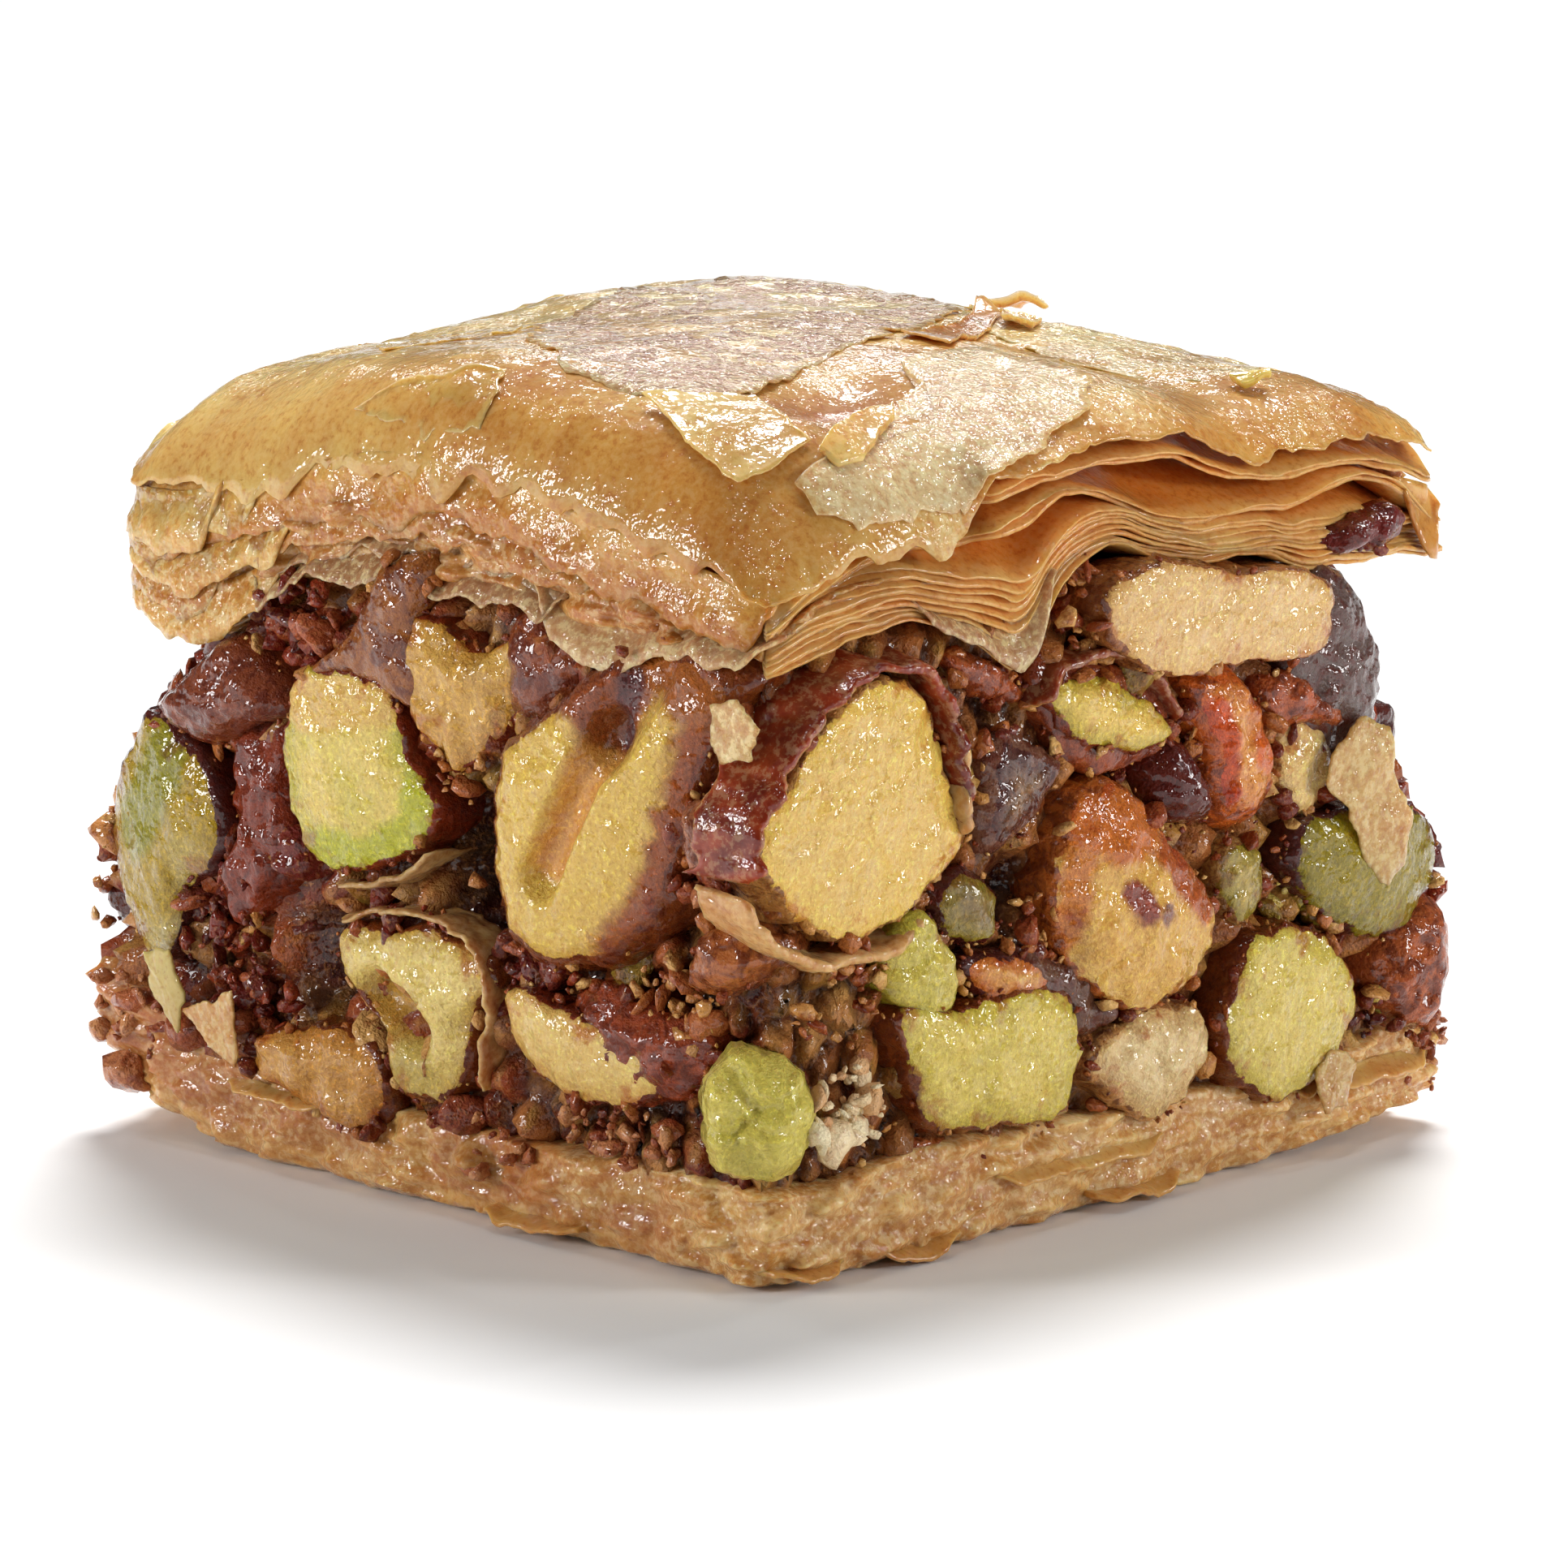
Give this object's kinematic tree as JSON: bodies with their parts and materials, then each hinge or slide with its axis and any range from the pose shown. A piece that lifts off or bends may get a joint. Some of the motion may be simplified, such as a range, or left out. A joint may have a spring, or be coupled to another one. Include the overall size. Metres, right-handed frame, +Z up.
{
  "type": "baklava piece",
  "caption": "Square piece of baklava: a leafy, syrup-glazed pastry lid over a thick layer of chopped pistachios on a soaked pastry base.",
  "frame": {"origin": "under the middle of the outer box, on the plane the piece rests on", "axes": "+Z up through the layers; the tidiest cut faces are the front, -Y, and the right, +X"},
  "size_m": [0.0482, 0.0476, 0.0385],
  "materials": {
    "soaked_pastry": "syrup-soaked, golden tan, leafy",
    "nuts": "chopped pistachios, green to pale yellow, in dark red-brown syrup",
    "glazed_pastry": "baked amber, syrup-glazed, with pale flakes"
  },
  "bodies": {
    "root": {"pastry_base": "soaked_pastry", "nut_filling": "nuts", "pastry_lid": "glazed_pastry"}
  },
  "joints": []
}
